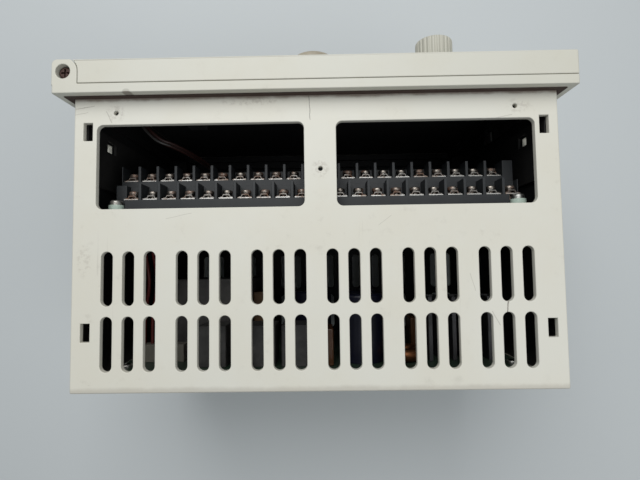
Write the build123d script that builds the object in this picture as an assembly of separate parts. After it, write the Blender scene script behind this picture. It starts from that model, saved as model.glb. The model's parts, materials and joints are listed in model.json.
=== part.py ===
from build123d import *
import math
import os

# Panel-mounted process controller: a vented rear case, a front bezel with a hinged door,
# a two-tier terminal block inside the case, and the electronics behind it.
# Millimetres. While it is modelled, X runs along the width, +Y points out of the front,
# +Z points out of the cable-entry face, and y = 0 is the rear face of the bezel, which
# seats on the panel. The finished parts are then moved so that the origin is at the
# centre of the bottom of the whole object.

# ---- driving dimensions ----
caseWidth = 228.0
caseHeight = 136.0
caseDepth = 138.0
wall = 3.0
caseCorner = 0.8

bezelOverhangX = 6.9
bezelOverhangZ = 7.0
bezelCorner = 0.9
lipThickness = 4.4
doorThickness = 11.6
doorGap = 0.3
doorWall = 2.5

hingeInset = 5.2
hingeFromFront = 5.7
knuckleRadius = 4.8
bossOuterRound = 2.5
bossWidth = 11.8
bossLength = 16.0
hingePinRadius = 1.5
hingePinLength = 21.0
screwRecessRadius = 3.4
screwRecessDepth = 4.0
runningFit = 0.05
clearance = 0.3

slotWidth = 5.5
slotLength = 25.3
slotPitch = 10.0
slotGroupPitch = 35.0
slotGroups = 6
slotsInGroup = 3
slotRows = (85.7, 115.8)

cableOpeningFront = 13.0
cableOpeningLength = 40.1
cableOpeningCorner = 3.0
leftOpening = (-103.1, -5.1)
rightOpening = (10.0, 102.9)
pilotRadius = 1.1
pilotX = 94.05
pilotSetback = 7.3
middlePilotX = 2.45
middlePilotSetback = 35.5
bracketSlotX = 107.3
bracketSlotWidth = 4.4
bracketSlotLength = 8.6
bracketSlotSetbacks = (16.2, 110.45)
sideWindowSize = (4.0, 7.0)
sideWindowSetback = 16.7
sideWindowDepth = 27.1

windowInset = (14.0, 7.0)
cornerBlock = 10.0
frameScrewInset = 8.0
frameScrewRadius = 1.45
frameScrewHead = 2.8
frameScrewHeadHeight = 1.8

terminalPitch = 9.5
terminalCount = 21
blockHalfLength = 102.0
lowerFirstX = -92.6
upperFirstX = -97.4
lowerRowDepth = 17.7
upperRowDepth = 28.5
blockFrontDepth = 12.5
blockBackDepth = 35.0
riserDepth = 23.1
lowerDeck = 46.9
upperDeck = 35.6
lowerBarrierTop = 38.7
upperBarrierTop = 27.6
blockRear = 55.7
barrierThickness = 1.4
upperBackStep = 1.8
backWallThickness = 2.0
earDeck = 51.9
earLength = 6.7
earSetback = 3.9
blockWasherRadius = 3.75
blockWasherHeight = 2.4
blockScrewHead = 3.0
mountScrewX = 99.9
mountScrewDepth = 13.6
plateThickness = 0.6
plateSideGap = 0.45
clampSideGap = 0.75
clampThickness = 0.6
clampRise = 1.9
springWasherRadius = 2.2
springWasherThickness = 0.6
terminalScrewHead = 2.6
terminalScrewHeadHeight = 1.7
terminalShank = 1.65

boardThickness = 1.6
rearBoardGap = 3.7
rearBoardInset = (11.0, 5.0)
boardScrewInset = 6.0
sidePlateThickness = 1.5
sidePlateFront = 10.5
sidePlateGap = 1.0
sidePlateRear = 40.0

controlHeight = 48.0
knobX = 62.2
knobRadius = 9.35
knobTip = 34.0
knobFlutes = 24
shaftRadius = 3.0
potRadius = 8.2
potDepth = 9.0
bushingRadius = 4.5
buttonX = -0.7
collarRadius = 12.6
collarInnerRadius = 11.3
collarHeight = 3.6
buttonRadius = 11.0
buttonHeight = 10.7
buttonTravel = 2.5
switchBodyRadius = 8.0
switchBodyDepth = 16.0

displayCentre = (-34.0, -30.0)
displaySize = (112.0, 40.0)
displayRim = 2.0
keyCentres = (-78.0, -52.0, -26.0, 0.0)
keyHeight = 12.0
keySize = (14.0, 9.0)
keyProud = 1.6
keyFlange = 1.0
ledCentres = (52.0, 68.0, 84.0, 100.0)
ledHeight = -46.0
ledRadius = 2.0
overlayThickness = 0.5
overlayMargin = 6.0
displayBoardLift = 4.2
boardPosts = ((-98.0, -68.0), (36.0, -68.0), (-98.0, 30.0), (36.0, 30.0))
boardPostRadius = 3.0
shieldThickness = 0.8

gasketProud = 3.2
gasketThickness = 0.5
latchInset = 9.5
latchHalf = 6.0
smallShank = 1.45
smallHead = 2.6
mountShank = 1.5

terminalBoardGap = 3.0
terminalBoardDepths = (11.0, 118.0)
tabReach = 9.0
tabThickness = 1.5
tabScrewInset = 6.5
tabScrewZ = (-19.0, 19.0)

transformerX = (-84.0, -38.0)
transformerZ = (-22.0, 24.0)
transformerHeight = 42.0
transformerLimb = 8.0
# x, z, radius and height of each smoothing capacitor
capacitorCans = ((22.5, 41.0, 11.0, 34.0), (22.5, 12.0, 11.0, 34.0),
                 (-4.0, 12.0, 11.0, 34.0), (-4.0, -16.0, 8.0, 28.0))
filmPlaces = ((4.0, 46.0), (44.0, 14.0), (56.0, 8.0))
relayPlaces = ((-52.0, 46.0), (-28.0, 46.0), (-11.0, 46.0))
chokePlace = (44.5, 42.0)
chokeRadii = (6.8, 3.4)
heatSinkX = (56.0, 94.0)
heatSinkZ = (26.0, 46.0)
heatSinkHeight = 32.0
heatSinkFins = 6
transistorPlaces = (64.0, 78.0)
fuseZ = -40.0
fuseX = (-60.0, -40.0)
fuseRadius = 2.6
fuseLift = 6.0
# x, z, width and height of each chip
chipPlaces = ((-60.0, -20.0, 26.0, 10.0), (-20.0, -20.0, 34.0, 14.0),
              (30.0, -20.0, 26.0, 10.0), (66.0, -24.0, 18.0, 10.0))
headerPlaces = (-20.0, 30.0)
headerLift = 9.0

wireCount = 4
wireFirstX = -92.0
wirePitch = 4.0
wireZ = 38.0
wireRadius = 0.8
cableRadius = 1.5
doorPlugX = -70.0
doorPlugZ = (14.0, 40.0)
casePlugX = -56.0
casePlugZ = (-11.0, 11.0)
casePlugFront = -46.0
hingeCrossing = (-93.2, -3.7, 38.0)
doorCablePoints = ((doorPlugX - 5.35, 2.7, 32.0), (-98.2, 2.7, 37.0), hingeCrossing)
caseCablePoints = (hingeCrossing, (-87.5, -11.0, 39.14), (-78.0, -13.5, 33.0),
                   (-66.0, -19.0, 7.0), (casePlugX, -31.0, 0.0),
                   (casePlugX, casePlugFront, 0.0))

# ---- places worked out from the driving dimensions ----
halfCaseX = caseWidth / 2
halfCaseZ = caseHeight / 2
halfBezelX = halfCaseX + bezelOverhangX
halfBezelZ = halfCaseZ + bezelOverhangZ
frontFace = lipThickness + doorThickness
doorRear = lipThickness + doorGap
innerFront = frontFace - doorWall
displayBoardFront = doorRear + displayBoardLift
hingeX = hingeInset - halfBezelX
hingeY = frontFace - hingeFromFront
bossRight = bossWidth - halfBezelX
doorLeft = bossRight + clearance
knuckleHalf = halfBezelZ - bossLength - clearance
innerX = halfCaseX - wall
innerZ = halfCaseZ - wall
rearInner = wall - caseDepth
rearBoardFront = rearInner + rearBoardGap + boardThickness
recessWidth = terminalPitch - barrierThickness
plateWidth = recessWidth - 2 * plateSideGap
clampSize = recessWidth - 2 * clampSideGap
lowerRowZ = halfCaseZ - lowerRowDepth
upperRowZ = halfCaseZ - upperRowDepth
riserZ = halfCaseZ - riserDepth
blockTopZ = halfCaseZ - blockFrontDepth
blockBottomZ = halfCaseZ - blockBackDepth
mountScrewZ = halfCaseZ - mountScrewDepth
terminalBoardRear = -blockRear - boardThickness
displayFront = frontFace - overlayThickness
displayX0 = displayCentre[0] - displaySize[0] / 2
displayX1 = displayCentre[0] + displaySize[0] / 2
displayZ0 = displayCentre[1] - displaySize[1] / 2
displayZ1 = displayCentre[1] + displaySize[1] / 2
tabScrewX = innerX - tabScrewInset
windowX = halfCaseX - windowInset[0]
windowZ = halfCaseZ - windowInset[1]
rearBoardHalf = (innerX - rearBoardInset[0], innerZ - rearBoardInset[1])
boardScrewX = rearBoardHalf[0] - boardScrewInset
boardScrewZ = rearBoardHalf[1] - boardScrewInset
latchX = halfCaseX - latchInset
terminalBoardHalf = innerX - terminalBoardGap
terminalBoardZ = (halfCaseZ - terminalBoardDepths[1], halfCaseZ - terminalBoardDepths[0])
sidePlateHalf = innerZ - sidePlateGap
toOrigin = Location((0, (caseDepth - knobTip) / 2, halfBezelZ))


def block(x0, x1, y0, y1, z0, z1):
    """A box between two corners."""
    centre = ((x0 + x1) / 2, (y0 + y1) / 2, (z0 + z1) / 2)
    return Pos(*centre) * Box(abs(x1 - x0), abs(y1 - y0), abs(z1 - z0))


def rodY(x, z, radius, y0, y1):
    """A cylinder along Y from y0 to y1."""
    return Pos(x, (y0 + y1) / 2, z) * Rot(90, 0, 0) * Cylinder(radius, abs(y1 - y0))


def rodZ(x, y, radius, z0, z1):
    """A cylinder along Z from z0 to z1."""
    return Pos(x, y, (z0 + z1) / 2) * Cylinder(radius, abs(z1 - z0))


def rodX(y, z, radius, x0, x1):
    """A cylinder along X from x0 to x1."""
    return Pos((x0 + x1) / 2, y, z) * Rot(0, 90, 0) * Cylinder(radius, abs(x1 - x0))


def save(name, *solids):
    """Write one node, moved to the object's origin."""
    placed = [toOrigin * piece for solid in solids for piece in solid.solids()]
    shape = placed[0] if len(placed) == 1 else Compound(children=placed)
    export_step(shape, "parts/" + name + ".step")


def crossRecess(radius, depth):
    """The cutter for a cross recess, standing on z = 0 and reaching down."""
    arm = radius * 1.25
    width = radius * 0.28
    cutter = Pos(0, 0, -depth / 2) * Box(arm, width, depth)
    return cutter + Pos(0, 0, -depth / 2) * Box(width, arm, depth)


def screw(headRadius, headHeight, shankRadius, shankLength):
    """A pan-head screw along +Z with its seat at z = 0."""
    head = Pos(0, 0, headHeight / 2) * Cylinder(headRadius, headHeight)
    head = fillet(head.edges().sort_by(Axis.Z)[-1:], headHeight * 0.45)
    head -= Pos(0, 0, headHeight) * crossRecess(headRadius, headHeight * 0.55)
    return head + Pos(0, 0, -shankLength / 2) * Cylinder(shankRadius, shankLength)


def screwFacingFront(x, y, z, *sizes):
    return Pos(x, y, z) * Rot(-90, 0, 0) * screw(*sizes)


def slotCutter(x, setback, width, length, z0, z1):
    """A round-ended slot that runs along Y through a horizontal wall."""
    profile = Pos(x, -setback) * Rot(0, 0, 90) * SlotOverall(length, width)
    return Pos(0, 0, z0) * extrude(profile, z1 - z0)


# ---- rear case ----
def makeRearCase():
    case = block(-halfCaseX, halfCaseX, -caseDepth, 0, -halfCaseZ, halfCaseZ)
    case = fillet(case.edges().filter_by(Axis.Y), caseCorner)
    case = fillet(case.faces().sort_by(Axis.Y)[0].edges(), caseCorner)
    case -= block(-innerX, innerX, rearInner, 1, -innerZ, innerZ)
    for sideX in (-1, 1):
        for sideZ in (-1, 1):
            case += block(
                sideX * (innerX - cornerBlock), sideX * (innerX + 0.5),
                -cornerBlock, 0,
                sideZ * (innerZ - cornerBlock), sideZ * (innerZ + 0.5),
            )
            case -= rodY(
                sideX * (halfCaseX - frameScrewInset), sideZ * (halfCaseZ - frameScrewInset),
                frameScrewRadius + runningFit, -cornerBlock - 1, 1,
            )
    cutters = []
    for setback in slotRows:
        for group in range(slotGroups):
            for place in range(slotsInGroup):
                x = (group - (slotGroups - 1) / 2) * slotGroupPitch
                x += (place - (slotsInGroup - 1) / 2) * slotPitch
                cutters.append(slotCutter(x, setback, slotWidth, slotLength,
                                          innerZ - 1, halfCaseZ + 1))
                cutters.append(slotCutter(x, setback, slotWidth, slotLength,
                                          -halfCaseZ - 1, 1 - innerZ))
    for left, right in (leftOpening, rightOpening):
        opening = block(left, right, -cableOpeningFront - cableOpeningLength,
                        -cableOpeningFront, innerZ - 1, halfCaseZ + 1)
        cutters.append(fillet(opening.edges().filter_by(Axis.Z), cableOpeningCorner))
    for x in (-pilotX, pilotX):
        cutters.append(rodZ(x, -pilotSetback, pilotRadius, innerZ - 1, halfCaseZ + 1))
    cutters.append(rodZ(middlePilotX, -middlePilotSetback, pilotRadius,
                        innerZ - 1, halfCaseZ + 1))
    for setback in bracketSlotSetbacks:
        for x in (-bracketSlotX, bracketSlotX):
            for low, high in ((innerZ - 1, halfCaseZ + 1), (-halfCaseZ - 1, 1 - innerZ)):
                cutters.append(block(
                    x - bracketSlotWidth / 2, x + bracketSlotWidth / 2,
                    -setback - bracketSlotLength / 2, -setback + bracketSlotLength / 2,
                    low, high,
                ))
    for side in (-1, 1):
        cutters.append(block(
            side * (innerX - 1), side * (halfCaseX + 1),
            -sideWindowSetback - sideWindowSize[0] / 2,
            -sideWindowSetback + sideWindowSize[0] / 2,
            halfCaseZ - sideWindowDepth - sideWindowSize[1] / 2,
            halfCaseZ - sideWindowDepth + sideWindowSize[1] / 2,
        ))
    return case - cutters


def makePanelGasket():
    reach = (halfCaseX + gasketProud, halfCaseZ + gasketProud)
    outer = block(-reach[0], reach[0], -gasketThickness, 0, -reach[1], reach[1])
    return outer - block(-halfCaseX - 0.2, halfCaseX + 0.2, -2, 1,
                         -halfCaseZ - 0.2, halfCaseZ + 0.2)


# ---- bezel frame, with the fixed halves of the hinge ----
def makeBezelFrame():
    frame = block(-halfBezelX, halfBezelX, 0, lipThickness, -halfBezelZ, halfBezelZ)
    frame = fillet(frame.edges().filter_by(Axis.Y), bezelCorner)
    frame -= block(-windowX, windowX, -1, lipThickness + 1, -windowZ, windowZ)
    for side in (-1, 1):
        low = halfBezelZ - bossLength
        boss = block(-halfBezelX, bossRight, lipThickness - 0.5, frontFace,
                     side * low, side * halfBezelZ)
        outer = boss.edges().filter_by(Axis.Z).group_by(Axis.Y)[-1].sort_by(Axis.X)
        boss = fillet(outer[:1], bossOuterRound)
        # the corner beside the door is an arc about the hinge's own axis
        beyond = block(hingeX, bossRight + 1, hingeY, frontFace + 1, side * (low - 1),
                       side * (halfBezelZ + 1))
        boss -= beyond - rodZ(hingeX, hingeY, bossRight - hingeX, side * (low - 2),
                              side * (halfBezelZ + 2))
        frame += boss
        top = side * halfBezelZ
        frame -= rodZ(hingeX, hingeY, hingePinRadius + runningFit, side * (low - 1), top)
        frame -= rodZ(hingeX, hingeY, screwRecessRadius,
                      side * (halfBezelZ - screwRecessDepth), side * (halfBezelZ + 1))
        tab = side * (innerZ - 0.2)
        frame += block(-innerX + 16, innerX - 16, -5, 0.5, tab - side * 2, tab)
        edge = side * (innerX - 0.2)
        frame += block(edge - side * 2, edge, -5, 0.5, -50, 50)
        for x in (-1, 1):
            place = (x * (halfCaseX - frameScrewInset), side * (halfCaseZ - frameScrewInset))
            frame -= rodY(*place, frameScrewRadius + runningFit, -1, lipThickness + 1)
            frame -= rodY(*place, frameScrewHead + 0.2,
                          lipThickness - frameScrewHeadHeight - 0.4, lipThickness + 1)
    frame -= block(latchX - 2.2, latchX + 2.2, -1, lipThickness + 1,
                   -latchHalf - 1, latchHalf + 1)
    return frame


def makeFrameScrews():
    seat = lipThickness - frameScrewHeadHeight - 0.4
    return [
        screwFacingFront(x * (halfCaseX - frameScrewInset), seat,
                         z * (halfCaseZ - frameScrewInset),
                         frameScrewHead, frameScrewHeadHeight, frameScrewRadius, 9.0)
        for x in (-1, 1) for z in (-1, 1)
    ]


def makeHingeScrews():
    seat = halfBezelZ - screwRecessDepth
    one = screw(3.0, 2.0, hingePinRadius, hingePinLength)
    return [Pos(hingeX, hingeY, seat) * one, Pos(hingeX, hingeY, -seat) * Rot(180, 0, 0) * one]


def makeLatchStrike():
    return block(latchX + 2.4, latchX + 3.6, -6, 0, 1 - latchHalf, latchHalf - 1)


# ---- door ----
def roundedPlate(x0, x1, y0, y1, z0, z1, radius):
    plate = block(x0, x1, y0, y1, z0, z1)
    return fillet(plate.edges().filter_by(Axis.Y), radius)


def makeDoorPanel():
    # the door's edge wraps round the hinge bosses, a clearance away from them
    door = block(hingeX + 1, halfBezelX, doorRear, frontFace, -halfBezelZ, halfBezelZ)
    corners = door.edges().filter_by(Axis.Y).group_by(Axis.X)[-1]
    door = fillet(corners, bezelCorner)
    rim = door.faces().sort_by(Axis.Y)[-1].edges()
    door = fillet(rim.sort_by(Axis.X)[1:], bezelCorner)
    door -= block(hingeX, doorLeft, 0, hingeY, -halfBezelZ - 1, halfBezelZ + 1)
    door -= rodZ(hingeX, hingeY, doorLeft - hingeX, -halfBezelZ - 1, halfBezelZ + 1)
    door -= block(doorLeft + 4.4, halfBezelX - doorWall, doorRear - 1, innerFront,
                  -halfBezelZ + doorWall, halfBezelZ - doorWall)
    door += rodZ(hingeX, hingeY, knuckleRadius, -knuckleHalf, knuckleHalf)
    door += block(hingeX, doorLeft + 1, hingeY - knuckleRadius, hingeY + knuckleRadius,
                  -knuckleHalf, knuckleHalf)
    for side in (-1, 1):
        deep = halfBezelZ - screwRecessDepth - hingePinLength - 1
        door -= rodZ(hingeX, hingeY, hingePinRadius + runningFit,
                     side * deep, side * halfBezelZ)
    door -= block(displayX0 - 0.1, displayX1 + 0.1, 0, frontFace + 1,
                  displayZ0 - 0.1, displayZ1 + 0.1)
    for x in keyCentres:
        door -= block(x - keySize[0] / 2 - clearance, x + keySize[0] / 2 + clearance, 0,
                      frontFace + 1, keyHeight - keySize[1] / 2 - clearance,
                      keyHeight + keySize[1] / 2 + clearance)
    for x in ledCentres:
        door -= rodY(x, ledHeight, ledRadius + 0.15, 0, frontFace + 1)
    door -= rodY(knobX, controlHeight, bushingRadius + 0.1, 0, frontFace + 1)
    door -= rodY(buttonX, controlHeight, switchBodyRadius + 0.1, 0, frontFace + 1)
    overlay = roundedPlate(doorLeft + overlayMargin, halfBezelX - overlayMargin,
                           frontFace - overlayThickness, frontFace + 1,
                           -halfBezelZ + overlayMargin, halfBezelZ - overlayMargin, 2.0)
    door -= overlay
    # the posts that the display board is screwed to
    for x, z in boardPosts:
        door += rodY(x, z, boardPostRadius, displayBoardFront, innerFront + 0.5)
        door -= rodY(x, z, 1.3 + runningFit, 0, displayBoardFront + 4.0)
    door += block(latchX - 1.2, latchX + 1.2, -2, innerFront + 0.5,
                  -latchHalf, latchHalf)
    return door


def makeOverlay():
    overlay = roundedPlate(doorLeft + overlayMargin + 0.1, halfBezelX - overlayMargin - 0.1,
                           frontFace - overlayThickness, frontFace,
                           -halfBezelZ + overlayMargin + 0.1,
                           halfBezelZ - overlayMargin - 0.1, 2.0)
    overlay -= block(displayX0 + displayRim, displayX1 - displayRim, 0, frontFace + 1,
                     displayZ0 + displayRim, displayZ1 - displayRim)
    for x in keyCentres:
        overlay -= block(x - keySize[0] / 2 - clearance, x + keySize[0] / 2 + clearance, 0,
                         frontFace + 1, keyHeight - keySize[1] / 2 - clearance,
                         keyHeight + keySize[1] / 2 + clearance)
    for x in ledCentres:
        overlay -= rodY(x, ledHeight, ledRadius + 0.15, 0, frontFace + 1)
    overlay -= rodY(knobX, controlHeight, bushingRadius + 2.2, 0, frontFace + 1)
    overlay -= rodY(buttonX, controlHeight, collarRadius + 0.1, 0, frontFace + 1)
    return overlay


def makeDoorShield():
    """The blackened sheet that closes the back of the door, inside its rim."""
    rear = doorRear + 0.05
    edge = doorWall + 0.3
    sheet = block(doorLeft + 4.7, halfBezelX - edge, rear, rear + shieldThickness,
                  edge - halfBezelZ, halfBezelZ - edge)
    sheet -= rodY(buttonX, controlHeight, switchBodyRadius + 1.7, 0, frontFace)
    sheet -= block(knobX - potRadius - 0.6, knobX + potRadius + 0.6, 0, frontFace,
                   controlHeight - 14.2, controlHeight + potRadius + 0.6)
    sheet -= block(latchX - 1.7, latchX + 1.7, 0, frontFace,
                   -latchHalf - 0.5, latchHalf + 0.5)
    sheet -= block(doorPlugX - 5.6, doorPlugX + 5.6, 0, frontFace, *doorPlugZ)
    return sheet


def makeDisplayWindow():
    return block(displayX0, displayX1, displayFront - 2.0, displayFront, displayZ0, displayZ1)


def makeDisplayModule():
    front = displayFront - 2.0
    body = block(displayX0 + 4, displayX1 - 4, displayBoardFront, front - 0.4,
                 displayZ0 + 3, displayZ1 - 3)
    digits = block(displayX0 + 8, displayX1 - 8, front - 1.0, front,
                   displayZ0 + 7, displayZ1 - 7)
    return body + digits


def makeDisplayBoard():
    board = block(-102.0, 42.0, displayBoardFront - boardThickness, displayBoardFront,
                  -71.5, 34.0)
    for x, z in boardPosts:
        board -= rodY(x, z, 1.3 + runningFit, 0, frontFace)
    return board


def makeDisplayBoardScrews():
    rear = displayBoardFront - boardThickness
    one = screw(2.4, 1.6, 1.3, 5.0)
    return [Pos(x, rear, z) * Rot(90, 0, 0) * one for x, z in boardPosts]


def makeLeds():
    leds = []
    for x in ledCentres:
        lamp = rodY(x, ledHeight, ledRadius, innerFront - 4.0, frontFace - 0.2)
        leds.append(lamp + rodY(x, ledHeight, ledRadius + 0.7, innerFront - 4.0,
                                innerFront - clearance))
    return leds


def makeLedBoard():
    return block(44.0, 106.0, innerFront - 4.0 - boardThickness, innerFront - 4.0,
                 ledHeight - 6, ledHeight + 6)


def makeKeySwitches():
    switches = []
    for x in keyCentres:
        body = block(x - 3, x + 3, displayBoardFront, innerFront - 2.6, keyHeight - 3,
                     keyHeight + 3)
        switches.append(body)
    return switches


def makeKey(x):
    face = frontFace + keyProud
    cap = block(x - keySize[0] / 2, x + keySize[0] / 2, innerFront - 0.5, face,
                keyHeight - keySize[1] / 2, keyHeight + keySize[1] / 2)
    cap = fillet(cap.faces().sort_by(Axis.Y)[-1].edges(), 0.7)
    flange = block(x - keySize[0] / 2 - 1, x + keySize[0] / 2 + 1,
                   innerFront - clearance - keyFlange, innerFront - clearance,
                   keyHeight - keySize[1] / 2 - 1, keyHeight + keySize[1] / 2 + 1)
    return cap + flange


def makeKnob():
    rear = frontFace + 0.6
    knob = rodY(knobX, controlHeight, knobRadius, rear, knobTip)
    knob = fillet(knob.edges().sort_by(Axis.Y)[-1:], 1.0)
    for index in range(knobFlutes):
        angle = 2 * math.pi * (index + 0.5) / knobFlutes
        reach = knobRadius + 0.42
        knob -= rodY(knobX + reach * math.cos(angle), controlHeight + reach * math.sin(angle),
                     0.85, rear + 2.6, knobTip + 1)
    knob -= rodY(knobX, controlHeight, 7.2, rear - 1, rear + 4.0)
    knob -= rodY(knobX, controlHeight, shaftRadius, 0, knobTip - 3.0)
    knob -= rodX(knobTip - 8.5, controlHeight, 1.25, knobX, knobX + knobRadius + 1)
    return knob - pointerSlot(0.0)


def pointerSlot(shrink):
    """The groove across the top of the knob, from its middle to the edge."""
    return block(knobX + 1.5 + shrink, knobX + knobRadius + 1, knobTip - 0.8,
                 knobTip + 1 - 2 * shrink, controlHeight - 0.8 + shrink,
                 controlHeight + 0.8 - shrink)


def makeKnobSetScrew():
    y = knobTip - 8.5
    grub = rodX(y, controlHeight, 1.2, knobX + shaftRadius + 0.1, knobX + knobRadius - 1.8)
    return grub - block(knobX + knobRadius - 2.6, knobX + knobRadius, y - 1, y + 1,
                        controlHeight - 0.2, controlHeight + 0.2)


def makePotShaft():
    return rodY(knobX, controlHeight, shaftRadius, innerFront - potDepth + 2, knobTip - 3.4)


def makePotBody():
    body = rodY(knobX, controlHeight, potRadius, innerFront - potDepth, innerFront - 0.1)
    body += rodY(knobX, controlHeight, bushingRadius, innerFront - 0.5, frontFace + 3.8)
    body += block(knobX - 6, knobX + 6, innerFront - potDepth, innerFront - potDepth + 1.6,
                  controlHeight - 13.5, controlHeight)
    return body - rodY(knobX, controlHeight, shaftRadius + runningFit,
                       innerFront - potDepth + 1.9, frontFace + 10)


def makePotNut():
    hexagon = Rot(90, 0, 0) * extrude(RegularPolygon(6.4, 6), 2.0)
    nut = Pos(knobX, frontFace + 2.0 - overlayThickness, controlHeight) * hexagon
    return nut - rodY(knobX, controlHeight, bushingRadius + runningFit, 0, 40)


def makePotTerminals():
    rear = innerFront - potDepth
    return [block(knobX + x - 0.5, knobX + x + 0.5, rear - 4.0, rear,
                  controlHeight - 12.5, controlHeight - 10) for x in (-4, 0, 4)]


def makeButtonCollar():
    collar = rodY(buttonX, controlHeight, collarRadius, displayFront,
                  frontFace + collarHeight)
    collar = fillet(collar.edges().sort_by(Axis.Y)[-1:], 1.2)
    return collar - rodY(buttonX, controlHeight, collarInnerRadius, 0, 40)


def makeButtonSwitch():
    rear = innerFront - switchBodyDepth
    body = rodY(buttonX, controlHeight, switchBodyRadius, rear, displayFront)
    body += rodY(buttonX, controlHeight, switchBodyRadius + 1.2, innerFront - 2.2,
                 innerFront - 0.1)
    body -= rodY(buttonX, controlHeight, 6.2, rear + 3, 40)
    return body


def makeButtonCap():
    face = frontFace + buttonHeight
    bottom = frontFace + buttonTravel + 0.6
    cap = rodY(buttonX, controlHeight, buttonRadius, bottom, face)
    cap = fillet(cap.edges().sort_by(Axis.Y)[-1:], 2.6)
    stem = rodY(buttonX, controlHeight, 2.6, innerFront - switchBodyDepth + 3 + buttonTravel
                + 0.4, bottom + 1)
    return cap + stem


def makeButtonSpring():
    rear = innerFront - switchBodyDepth + 3.0
    front = frontFace + buttonTravel + 0.6
    tube = rodY(buttonX, controlHeight, 5.2, rear, front)
    return tube - rodY(buttonX, controlHeight, 3.6, 0 - 40, 40)


# ---- terminal block ----
def makeTerminalBlock():
    outline = Polyline(
        (-blockRear, blockBottomZ), (-upperBarrierTop, blockBottomZ),
        (-upperBarrierTop, riserZ), (-lowerBarrierTop, riserZ),
        (-lowerBarrierTop, blockTopZ), (-blockRear, blockTopZ), close=True,
    )
    body = extrude(Plane.YZ * make_face(outline), blockHalfLength, both=True)
    cutters = []
    half = recessWidth / 2
    for index in range(terminalCount):
        x = lowerFirstX + index * terminalPitch
        cutters.append(block(x - half, x + half, -lowerDeck, -lowerBarrierTop + 1,
                             riserZ + 0.8, blockTopZ + 1))
        cutters.append(rodY(x, lowerRowZ, terminalShank + runningFit, -lowerDeck - 6.2, 0))
        x = upperFirstX + index * terminalPitch
        cutters.append(block(x - half, x + half, -upperDeck, -upperBarrierTop + 1,
                             blockBottomZ + backWallThickness, riserZ + 1))
        cutters.append(rodY(x, upperRowZ, terminalShank + runningFit, -upperDeck - 6.2, 0))
    # the wall behind the upper tier is lower than the barriers
    cutters.append(block(-blockHalfLength - 1, blockHalfLength + 1,
                         -upperBarrierTop - upperBackStep, 0, blockBottomZ - 1,
                         blockBottomZ + backWallThickness))
    for side in (-1, 1):
        end = side * (blockHalfLength + 1)
        cutters.append(block(side * (blockHalfLength - earLength), end, -earDeck, 0,
                             mountScrewZ - earSetback, blockTopZ + 1))
        cutters.append(rodY(side * mountScrewX, mountScrewZ, mountShank + runningFit,
                            -blockRear - 1, 0))
    return body - cutters


def makeTerminalPlates(firstX, deck, z):
    one = Box(plateWidth, plateThickness, 9.0) - Rot(90, 0, 0) * Cylinder(terminalShank + 0.15, 5)
    y = -deck + plateThickness / 2
    return [Pos(firstX + index * terminalPitch, y, z) * one for index in range(terminalCount)]


def makeTerminalClamps(firstX, deck, z):
    # a saddle of bent strip: its feet stand beside the wire and its crown is under the screw
    half = clampSize / 2
    crown = clampRise - clampThickness
    outer = Polyline((-half, 0), (-half, clampThickness), (-half + 1.2, clampThickness + 0.1),
                     (-1.6, clampRise), (1.6, clampRise), (half - 1.2, clampThickness + 0.1),
                     (half, clampThickness), (half, 0), (half - 1.4, 0), (1.3, crown),
                     (-1.3, crown), (-half + 1.4, 0), close=True)
    one = extrude(make_face(outer), clampSize / 2, both=True)
    one -= Pos(0, 2, 0) * Rot(90, 0, 0) * Cylinder(terminalShank + 0.15, 6)
    y = -deck + plateThickness
    return [Pos(firstX + index * terminalPitch, y, z) * one for index in range(terminalCount)]


def makeSpringWashers(firstX, deck, z):
    y = -deck + plateThickness + clampRise
    one = rodY(0, z, springWasherRadius, y, y + springWasherThickness)
    one -= rodY(0, z, terminalShank + 0.1, y - 1, y + 2)
    return [Pos(firstX + index * terminalPitch, 0, 0) * one for index in range(terminalCount)]


def makeTerminalScrews(firstX, deck, z):
    seat = -deck + plateThickness + clampRise + springWasherThickness
    return [
        screwFacingFront(firstX + index * terminalPitch, seat, z, terminalScrewHead,
                         terminalScrewHeadHeight, terminalShank, 5.5)
        for index in range(terminalCount)
    ]


def onBothTiers(make):
    lower = make(lowerFirstX, lowerDeck, lowerRowZ)
    return lower + make(upperFirstX, upperDeck, upperRowZ)


def makeBlockWashers():
    front = -earDeck + blockWasherHeight
    return [rodY(side * mountScrewX, mountScrewZ, blockWasherRadius, -earDeck, front)
            - rodY(side * mountScrewX, mountScrewZ, 1.7, -blockRear, 0) for side in (-1, 1)]


def makeBlockScrews():
    return [screwFacingFront(side * mountScrewX, -earDeck + blockWasherHeight, mountScrewZ,
                             blockScrewHead, 2.5, mountShank, 9.0) for side in (-1, 1)]


# ---- boards and what stands on them ----
def makeTerminalBoard():
    board = block(-terminalBoardHalf, terminalBoardHalf, terminalBoardRear, -blockRear,
                  *terminalBoardZ)
    for side in (-1, 1):
        board -= rodY(side * mountScrewX, mountScrewZ, mountShank + runningFit, -70, 0)
        for z in tabScrewZ:
            board -= rodY(side * tabScrewX, z, smallShank + runningFit, -70, 0)
    return board


def makeSidePlate(side):
    outer = side * (innerX - 0.1)
    inner = outer - side * sidePlateThickness
    plate = block(outer, inner, -sidePlateRear, -sidePlateFront, -sidePlateHalf,
                  sidePlateHalf)
    middle = halfCaseZ - sideWindowDepth
    plate -= block(outer + side, inner - side, -sideWindowSetback - sideWindowSize[0] / 2 - 1,
                   -sideWindowSetback + sideWindowSize[0] / 2 + 1,
                   middle - sideWindowSize[1] / 2 - 1, middle + sideWindowSize[1] / 2 + 1)
    tabRear = terminalBoardRear - tabThickness
    for z in tabScrewZ:
        plate += block(outer, inner, tabRear, -sidePlateRear + 1, z - 9, z + 9)
        plate += block(outer, outer - side * tabReach, tabRear, terminalBoardRear, z - 6, z + 6)
        plate -= rodY(side * tabScrewX, z, smallShank + runningFit, -70, -50)
    return plate


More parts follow.
